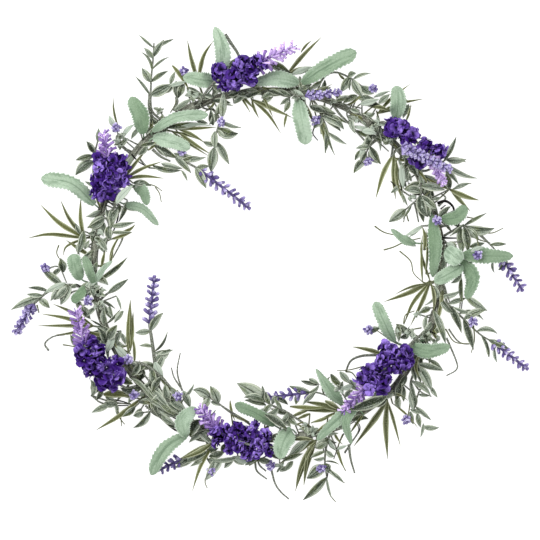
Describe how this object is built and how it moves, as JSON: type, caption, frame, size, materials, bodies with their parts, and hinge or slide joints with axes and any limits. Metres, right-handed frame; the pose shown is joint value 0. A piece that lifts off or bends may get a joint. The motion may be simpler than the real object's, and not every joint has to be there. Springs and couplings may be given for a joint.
{
  "type": "decorative wreath",
  "caption": "Artificial wreath: a tape-wrapped wire ring dressed all round with violet flower heads, lavender stems, pale lamb's-ear leaves, leafy sprigs and grass.",
  "frame": {"origin": "centre of the wire ring, on the plane the wreath lies on", "axes": "+Z out of the face of the wreath, away from the surface it lies on; +X along its width; +Y towards the top of its picture"},
  "size_m": [0.5195, 0.472, 0.0537],
  "materials": {
    "floral_tape": "matte grey-green floral tape",
    "violet_petals": "soft matte petals",
    "lavender_buds": "matte flocked buds",
    "sage_leaf": "flocked, pale and matte",
    "grey_green_leaf": "matte with white dusting",
    "olive_grass": "satin"
  },
  "bodies": {
    "root": {"wire_ring": "floral_tape", "tape_binding_1": "floral_tape", "tape_binding_2": "floral_tape", "tape_binding_3": "floral_tape", "tape_binding_4": "floral_tape", "tape_binding_5": "floral_tape", "tape_binding_6": "floral_tape", "violet_head_1": "violet_petals", "violet_head_2": "violet_petals", "violet_head_3": "violet_petals", "violet_head_4": "violet_petals", "violet_head_5": "violet_petals", "violet_head_6": "violet_petals", "lavender_stem_1": "lavender_buds", "lavender_stem_2": "lavender_buds", "lavender_stem_3": "lavender_buds", "lavender_stem_4": "lavender_buds", "lavender_stem_5": "lavender_buds", "lavender_stem_6": "lavender_buds", "lavender_stem_7": "lavender_buds", "lavender_stem_8": "lavender_buds", "lavender_stem_9": "lavender_buds", "lambs_ear_leaf_01": "sage_leaf", "lambs_ear_leaf_02": "sage_leaf", "lambs_ear_leaf_03": "sage_leaf", "lambs_ear_leaf_04": "sage_leaf", "lambs_ear_leaf_05": "sage_leaf", "lambs_ear_leaf_06": "sage_leaf", "lambs_ear_leaf_07": "sage_leaf", "lambs_ear_leaf_08": "sage_leaf", "lambs_ear_leaf_09": "sage_leaf", "lambs_ear_leaf_10": "sage_leaf", "lambs_ear_leaf_11": "sage_leaf", "lambs_ear_leaf_12": "sage_leaf", "lambs_ear_leaf_13": "sage_leaf", "lambs_ear_leaf_14": "sage_leaf", "lambs_ear_leaf_15": "sage_leaf", "lambs_ear_leaf_16": "sage_leaf", "lambs_ear_leaf_17": "sage_leaf", "lambs_ear_leaf_18": "sage_leaf", "lambs_ear_leaf_19": "sage_leaf", "lambs_ear_leaf_20": "sage_leaf", "leafy_sprig_01": "grey_green_leaf", "leafy_sprig_02": "grey_green_leaf", "leafy_sprig_03": "grey_green_leaf", "leafy_sprig_04": "grey_green_leaf", "leafy_sprig_05": "grey_green_leaf", "leafy_sprig_06": "grey_green_leaf", "leafy_sprig_07": "grey_green_leaf", "leafy_sprig_08": "grey_green_leaf", "leafy_sprig_09": "grey_green_leaf", "leafy_sprig_10": "grey_green_leaf", "grass_tuft_1": "olive_grass", "grass_tuft_2": "olive_grass", "grass_tuft_3": "olive_grass", "grass_tuft_4": "olive_grass", "grass_tuft_5": "olive_grass", "grass_tuft_6": "olive_grass", "grass_tuft_7": "olive_grass", "grass_tuft_8": "olive_grass"}
  },
  "joints": []
}
